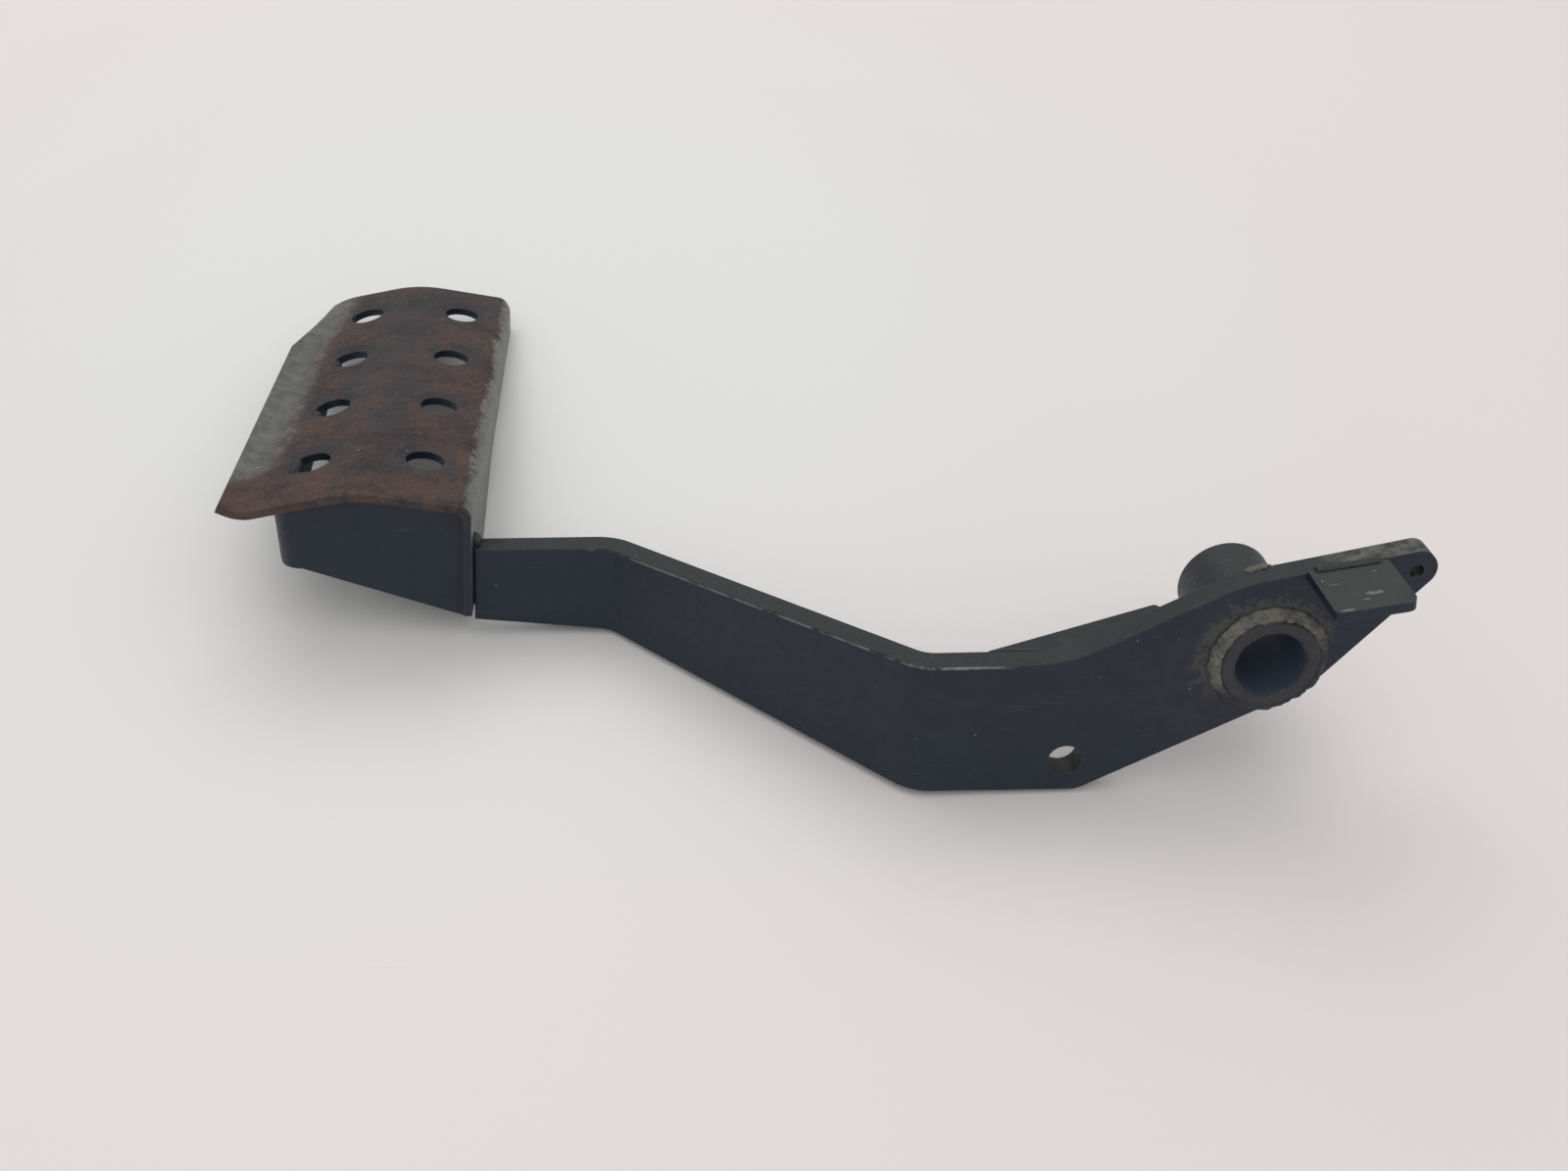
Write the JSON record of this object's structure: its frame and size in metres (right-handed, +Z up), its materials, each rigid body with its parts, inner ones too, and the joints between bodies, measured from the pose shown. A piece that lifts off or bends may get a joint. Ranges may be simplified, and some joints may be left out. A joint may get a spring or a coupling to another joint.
{
  "type": "foot brake pedal",
  "caption": "Bent steel foot pedal lever with a crowned, pierced tread, a cross-wise pivot tube, a stop tab and a rod-pin hole.",
  "frame": {"origin": "centre of the pivot bore, half way along the tube", "axes": "+Y along the pivot bore from the outer face of the arm towards the machine, +X from the foot pad towards the rod end, +Z up"},
  "size_m": [0.2734, 0.2032, 0.0631],
  "materials": {
    "black_paint": "satin black paint with scuffs and worn edges",
    "worn_tread": "rusted and worn paint, matt",
    "painted_weld": "painted weld bead, satin",
    "dusty_weld": "weld bead with dried dust and light rust, matt"
  },
  "bodies": {
    "root": {"lever_arm": "black_paint", "foot_pad": "worn_tread", "pad_bracket": "black_paint", "pivot_tube": "black_paint", "gusset": "black_paint", "stop_tab": "black_paint", "pivot_weld_front": "dusty_weld", "pivot_weld_back": "dusty_weld", "gusset_tube_weld": "painted_weld", "gusset_arm_weld": "painted_weld", "stop_tab_weld": "dusty_weld", "arm_pad_weld": "painted_weld", "bracket_flange_weld": "painted_weld", "panel_pad_weld": "painted_weld", "leg_pad_weld": "painted_weld"}
  },
  "joints": []
}
